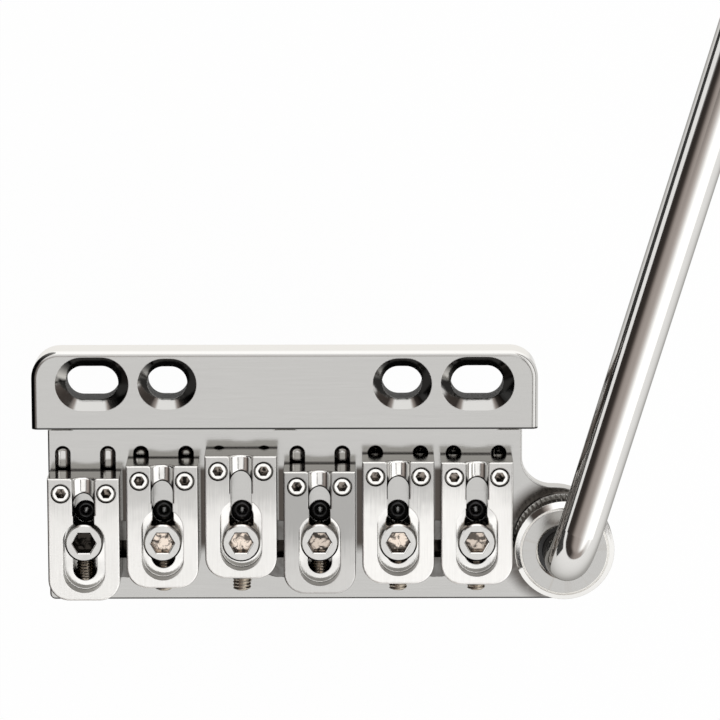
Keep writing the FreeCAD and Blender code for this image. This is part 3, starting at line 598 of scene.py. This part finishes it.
def warmShade(value):
    # a warm dark for painted shade in sockets and between the saddles
    return (value, value * 0.86, value * 0.74)


def keyedScrew(node, name, look, key):
    # a screw head with a painted highlight at its socket's mouth and painted shade in the socket
    darkKey, lightKey = key
    recess = {"level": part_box(node)[1].z, "range": 0.4 * millimetre, "mouthTone": grey(0.97),
              "darkTone": warmShade(darkKey), "lightTone": warmShade(lightKey)}
    finishNode(node, polishedSteel(name, dict(look, recess=recess)))


# darkest and lightest tone of the painted shade in each socket
clampKeys = {1: (0.002, 0.03), 2: (0.08, 0.8), 3: (0.12, 0.8), 4: (0.05, 0.6), 5: (0.1, 0.8), 6: (0.1, 0.6)}
heightKey = (0.01, 0.25)
blockKey = (0.003, 0.02)

clampLook = dict(screwLook, darkTone=grey(0.52), lightTone=grey(0.68), smearSize=900.0)
heightLook = dict(screwLook, darkTone=grey(0.8), lightTone=grey(0.95), smearSize=1500.0)
for number in strings:
    keyedScrew("clamp_screw_%d" % number, "clampSteel%d" % number, clampLook, clampKeys[number])
    keyedScrew("height_screws_%d" % number, "heightSteel%d" % number, heightLook, heightKey)
# painted shade: the block screws' heads, deep between the saddles, are painted dark
blockScrewLook = dict(screwLook, darkTone=warmShade(0.05), lightTone=grey(0.25))
keyedScrew("block_screws", "blockScrewSteel", blockScrewLook, blockKey)

# collar and arm

collarLook = {
    "darkTone": grey(0.46), "lightTone": grey(0.53), "flat": (0.78, 0.97),
    "fanTone": (0.4, 0.36, 0.32), "fanShare": 0.3, "fanRange": (0.5, 0.72),
    "fineness": 16000.0, "ringBlur": (0.14, 0.22), "relief": 0.15, "depth": 0.00002,
    "edge": 0.08 * millimetre, "wallTone": grey(0.92), "wallBlur": 0.06,
}
finishNode("arm_collar", turnedSteel("turnedCollar", collarLook, collarMiddle))

armLook = {
    "darkTone": grey(0.72), "lightTone": grey(0.79), "smearSize": 200.0, "smearBlur": (0.05, 0.1),
    "relief": 0.03, "depth": 0.00002,
}
finishNode("tremolo_arm", polishedSteel("polishedArm", armLook))

# bushes

bronzeLook = {
    "darkTone": (0.42, 0.26, 0.12), "lightTone": (0.62, 0.42, 0.22),
    "smearSize": 500.0, "smearBlur": (0.25, 0.4), "relief": 0.1, "depth": 0.00002,
}
finishNode("pivot_bushes", polishedSteel("bushBronze", bronzeLook))

nylonLook = {
    "darkTone": (0.008, 0.008, 0.008), "lightTone": (0.02, 0.019, 0.018), "smearSize": 900.0,
    "smearBlur": (0.12, 0.3), "relief": 0.1, "depth": 0.00002, "metallic": 0.0,
}
blackNylon = polishedSteel("blackNylon", nylonLook)
finishNode("arm_bush", blackNylon)
print("materials placed")


# pieces that the CAD leaves plain

def turnedMesh(name, rows, segments, closed=False):
    # rows of rings about z; each row is a height and a function from angle to radius
    shape = bmesh.new()
    rings = []
    for height, radiusAt in rows:
        ring = []
        for k in range(segments):
            angle = 2.0 * math.pi * k / segments
            radius = radiusAt(angle)
            ring.append(shape.verts.new((radius * math.cos(angle), radius * math.sin(angle), height)))
        rings.append(ring)
    pairs = list(zip(rings, rings[1:]))
    if closed:
        pairs.append((rings[-1], rings[0]))
    else:
        shape.faces.new(list(reversed(rings[0])))
        shape.faces.new(rings[-1])
    for lower, upper in pairs:
        for k in range(segments):
            after = (k + 1) % segments
            shape.faces.new((lower[k], lower[after], upper[after], upper[k]))
    bmesh.ops.recalc_face_normals(shape, faces=shape.faces)
    mesh = bpy.data.meshes.new(name)
    shape.to_mesh(mesh)
    shape.free()
    return mesh


def evenly(radius):
    return lambda angle: radius


def addPiece(name, mesh, material, body, place):
    mesh.materials.append(material)
    piece = bpy.data.objects.new(name, mesh)
    scene.collection.objects.link(piece)
    piece.matrix_world = place
    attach(piece, body)
    return piece


# black liners in the string holes, in millimetres

liner = {"radius": 1.46, "bore": 0.4, "below": 6.0, "sink": 0.1, "lipSteps": 10, "segments": 48}


def linerMesh():
    lipRadius = 0.5 * (liner["radius"] - liner["bore"])
    lipMiddle = 0.5 * (liner["radius"] + liner["bore"])
    rows = [(-liner["below"], liner["bore"]), (-liner["below"], liner["radius"])]
    for step in range(liner["lipSteps"] + 1):
        angle = math.pi * step / liner["lipSteps"]
        height = lipRadius * (math.sin(angle) - 1.0) - liner["sink"]
        rows.append((height, lipMiddle + lipRadius * math.cos(angle)))
    rows = [(height * millimetre, evenly(radius * millimetre)) for height, radius in rows]
    return turnedMesh("stringLiner", rows, liner["segments"], closed=True)


# threaded screws in the saddles' rear walls, in millimetres

thread = {"pitch": 0.45, "crest": 1.25, "root": 1.1, "rowsPerTurn": 8, "segments": 36,
          "tip": 0.4, "taper": 0.3, "key": 0.635, "keyDepth": 1.2}


def hexRadius(angle):
    side = (angle + math.pi / 6.0) % (math.pi / 3.0) - math.pi / 6.0
    return thread["key"] * millimetre / math.cos(side)


def threadMesh(name, length):
    crest, root, pitch, tip, taper = inMillimetres(
        *(thread[key] for key in ("crest", "root", "pitch", "tip", "taper")))

    def flankAt(height):
        # a V thread that climbs one pitch in a turn and tapers off at the tip and the end
        limit = min(1.0, height / tip, (length - height) / (0.5 * tip))

        def radius(angle):
            phase = (height / pitch - angle / (2.0 * math.pi)) % 1.0
            full = root + (crest - root) * abs(2.0 * phase - 1.0)
            return root - taper + (full - root + taper) * max(0.0, limit)
        return radius

    count = int(length / pitch * thread["rowsPerTurn"])
    rows = [(length * k / count, flankAt(length * k / count)) for k in range(count + 1)]
    rows.append((length, hexRadius))
    rows.append((length - thread["keyDepth"] * millimetre, hexRadius))
    return turnedMesh(name, rows, thread["segments"])


holeBack = -18.1 * millimetre
threadLook = dict(screwLook, darkTone=(0.42, 0.36, 0.29), lightTone=(0.62, 0.56, 0.48))
threadSteel = polishedSteel("threadSteel", threadLook)
for number in strings:
    low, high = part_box("clamp_screw_%d" % number)
    across = 0.5 * (low.x + high.x)
    mesh = linerMesh()
    for face in mesh.polygons:
        face.use_smooth = True
    addPiece("stringLiner%d" % number, mesh, blackNylon, "moving_base",
             Matrix.Translation((across, holeBack, baseHigh.z)))

    node = "intonation_screw_%d" % number
    low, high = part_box(node)
    tip = Vector((0.5 * (low.x + high.x), high.y, 0.5 * (low.z + high.z)))
    name = "threadedScrew%d" % number
    place = Matrix.Translation(tip) @ Matrix.Rotation(math.radians(90), 4, "X")
    piece = addPiece(name, threadMesh(name, high.y - low.y), threadSteel, node, place)
    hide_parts(node)
print("pieces added")


# studio

studio = {
    "floorRadius": 3.0,
    "floorDrop": 0.0003,  # below the block's lower face
    "floorTones": ((0.93, 0.925, 0.915), (0.95, 0.95, 0.945)),
    "floorSmear": 30.0,
    "floorBlur": 0.9,
    "floorGlow": 0.97,  # how far the floor shows plain white instead of its own light and shade
    "tentRadius": 2.8,
    "tentSegments": 64,
    "skirt": (0.05, 0.08),  # white up to here, as a share of the tent's height
    "cardGap": 0.012,  # black card beside the bass end, out of the picture
    "cardSize": (0.05, 0.16),
}

# light tent: tones by the angle from straight up, bass side to treble side
tentAcross = [
    (-180, 0.03), (-84, 0.03), (-66, 0.035), (-60, 0.06), (-55, 0.14), (-46, 0.32), (-37, 0.39), (-20, 0.42),
    (-8, 0.56), (5, 0.84), (15, 1.15), (25, 1.4), (40, 1.5), (100, 1.5), (180, 1.0),
]
# and by the heading near its foot, from treble round by the neck
tentFoot = [
    (0, 0.1), (22, 0.06), (55, 0.05), (68, 0.4), (76, 1.2), (104, 1.2), (112, 0.4), (122, 0.05),
    (140, 0.05), (150, 1.0), (189, 1.0), (196, 0.03), (246, 0.04), (262, 0.3), (282, 0.4), (296, 1.0),
    (306, 1.5), (326, 1.4), (338, 0.3), (346, 0.1), (360, 0.1),
]
tentFootHeight = (0.2, 0.36)
# panels in the tent, later ones in front: angles where each begins, is full, starts to end and has ended
tentPanels = {
    "neckSide": {"tone": 1.15, "across": (-60, -50, 50, 60), "along": (28, 40, 74, 82)},
    "softboxFrame": {"tone": 0.06, "across": (-36, -30, 21, 25), "along": (-44, -38, 17, 23)},
    "softbox": {"tone": 1.15, "across": (-28, -20, 15, 19), "along": (-38, -30, 17, 23)},
}


def warmed(tone):
    # dark parts of the room are a little brown
    share = min(tone, 1.0)
    return tuple(tone * (dark + (1.0 - dark) * share) for dark in (1.16, 0.96, 0.86))


def stageObject(name, mesh):
    piece = bpy.data.objects.new(name, mesh)
    scene.collection.objects.link(piece)
    return piece


def makeFloor():
    mesh = bpy.data.meshes.new("studioFloor")
    shape = bmesh.new()
    bmesh.ops.create_circle(
        shape, cap_ends=True, segments=studio["tentSegments"], radius=studio["floorRadius"])
    shape.to_mesh(mesh)
    shape.free()
    floor = stageObject("studioFloor", mesh)
    floor.location.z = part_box("sustain_block")[0].z - studio["floorDrop"]
    material, tree, shader, place = startMaterial("floorPaper", metallic=0.0)
    paper = placeGroup(tree, handling, place, Size=studio["floorSmear"])
    feed(tree, shader.inputs["Base Color"], blend(tree, paper["Smear"], *studio["floorTones"]))
    setInputs(shader, Roughness=studio["floorBlur"])
    glow = setInputs(addNode(tree, "ShaderNodeEmission"), Color=(1.0, 1.0, 1.0, 1.0), Strength=1.0)
    path = addNode(tree, "ShaderNodeLightPath")
    seen = mathNode(tree, "MAXIMUM", path.outputs["Is Camera Ray"], path.outputs["Is Glossy Ray"])
    seen = mathNode(tree, "MAXIMUM", seen, path.outputs["Is Transmission Ray"])
    mix = addNode(tree, "ShaderNodeMixShader")
    tree.links.new(mathNode(tree, "MULTIPLY", seen, studio["floorGlow"]), mix.inputs["Fac"])
    tree.links.new(shader.outputs["BSDF"], mix.inputs[1])
    tree.links.new(glow.outputs["Emission"], mix.inputs[2])
    tree.links.new(mix.outputs["Shader"], tree.nodes["Material Output"].inputs["Surface"])
    mesh.materials.append(material)


def windowMask(tree, angle, edges):
    begin, full, ending, ended = [math.radians(edge) for edge in edges]
    return product(tree, smoothStep(tree, angle, begin, full), smoothStep(tree, angle, ended, ending))


def tentCloth():
    material, tree, shader, place = startMaterial("tentCloth")
    tree.nodes.remove(shader)
    heading = addNode(tree, "ShaderNodeVectorMath", operation="NORMALIZE")
    tree.links.new(place, heading.inputs[0])
    parts = splitVector(tree, heading.outputs["Vector"])
    lean = mathNode(tree, "ARCTAN2", parts["X"], parts["Z"])
    pitch = mathNode(tree, "ARCTAN2", parts["Y"], parts["Z"])
    turn = mathNode(tree, "ARCTAN2", parts["Y"], parts["X"])
    across = mathNode(tree, "ADD", mathNode(tree, "MULTIPLY", lean, 0.5 / math.pi), 0.5)
    around = mathNode(tree, "FRACT", mathNode(tree, "MULTIPLY", turn, 0.5 / math.pi))
    top = rampNode(tree, across, [((angle + 180) / 360, warmed(tone)) for angle, tone in tentAcross])
    foot = rampNode(tree, around, [(angle / 360, warmed(tone)) for angle, tone in tentFoot])
    tone = top
    for panel in tentPanels.values():
        mask = mathNode(tree, "MULTIPLY", windowMask(tree, lean, panel["across"]),
                        windowMask(tree, pitch, panel["along"]))
        tone = blend(tree, mask, tone, warmed(panel["tone"]))
    tone = blend(tree, smoothStep(tree, parts["Z"], *tentFootHeight), foot, tone)
    tone = blend(tree, smoothStep(tree, parts["Z"], *studio["skirt"]), (1.0, 1.0, 1.0), tone)
    glow = setInputs(addNode(tree, "ShaderNodeEmission"), Strength=1.0)
    tree.links.new(tone, glow.inputs["Color"])
    tree.links.new(glow.outputs["Emission"], tree.nodes["Material Output"].inputs["Surface"])
    return material


def makeTent():
    mesh = bpy.data.meshes.new("lightTent")
    shape = bmesh.new()
    segments = studio["tentSegments"]
    bmesh.ops.create_uvsphere(
        shape, u_segments=segments, v_segments=segments // 2, radius=studio["tentRadius"])
    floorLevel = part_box("sustain_block")[0].z
    below = [face for face in shape.faces if max(vert.co.z for vert in face.verts) < floorLevel]
    bmesh.ops.delete(shape, geom=below, context="FACES")
    shape.to_mesh(mesh)
    shape.free()
    tent = stageObject("lightTent", mesh)
    tent.visible_camera = False  # the lens looks in through an opening
    mesh.materials.append(tentCloth())


def makeCard():
    height, length = studio["cardSize"]
    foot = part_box("sustain_block")[0].z
    aside = cadBox[0].x - studio["cardGap"]
    mesh = bpy.data.meshes.new("sideCard")
    outline = ((-1, 0), (1, 0), (1, 1), (-1, 1))
    corners = [(aside, along * length / 2, foot + up * height) for along, up in outline]
    mesh.from_pydata(corners, [], [(0, 1, 2, 3)])
    card = stageObject("sideCard", mesh)
    card.visible_camera = False
    card.visible_diffuse = False
    card.visible_shadow = False
    mesh.materials.append(polishedSteel("blackCard", nylonLook))


def makeSky():
    world = bpy.data.worlds.new("whiteRoom")
    world.use_nodes = True
    setInputs(world.node_tree.nodes["Background"], Color=(1.0, 1.0, 1.0, 1.0), Strength=1.0)
    scene.world = world


makeTent()
makeCard()
makeFloor()
makeSky()
print("studio set")


# camera, from the neck side and nearly overhead

photoView = {
    "target": (0.010335, 0.003264, 0.005),
    "distance": 0.6,
    "tilt": math.radians(10.558),
    "roll": math.radians(0.099),
    "lens": 219.5,
    "sensor": 36.0,
    "clip": (0.01, 20.0),
}


def makeCamera():
    data = bpy.data.cameras.new("photoCamera")
    data.sensor_width = photoView["sensor"]
    data.lens = photoView["lens"]
    data.clip_start, data.clip_end = photoView["clip"]
    camera = bpy.data.objects.new("photoCamera", data)
    scene.collection.objects.link(camera)
    sine = math.sin(photoView["tilt"])
    cosine = math.cos(photoView["tilt"])
    back = Vector((0, sine, cosine))
    axes = Matrix(((1, 0, 0), (0, cosine, sine), (0, -sine, cosine)))
    turn = axes.to_4x4() @ Matrix.Rotation(-photoView["roll"], 4, "Z")
    place = Vector(photoView["target"]) + back * photoView["distance"]
    camera.matrix_world = Matrix.Translation(place) @ turn
    scene.camera = camera


makeCamera()
print("camera set")
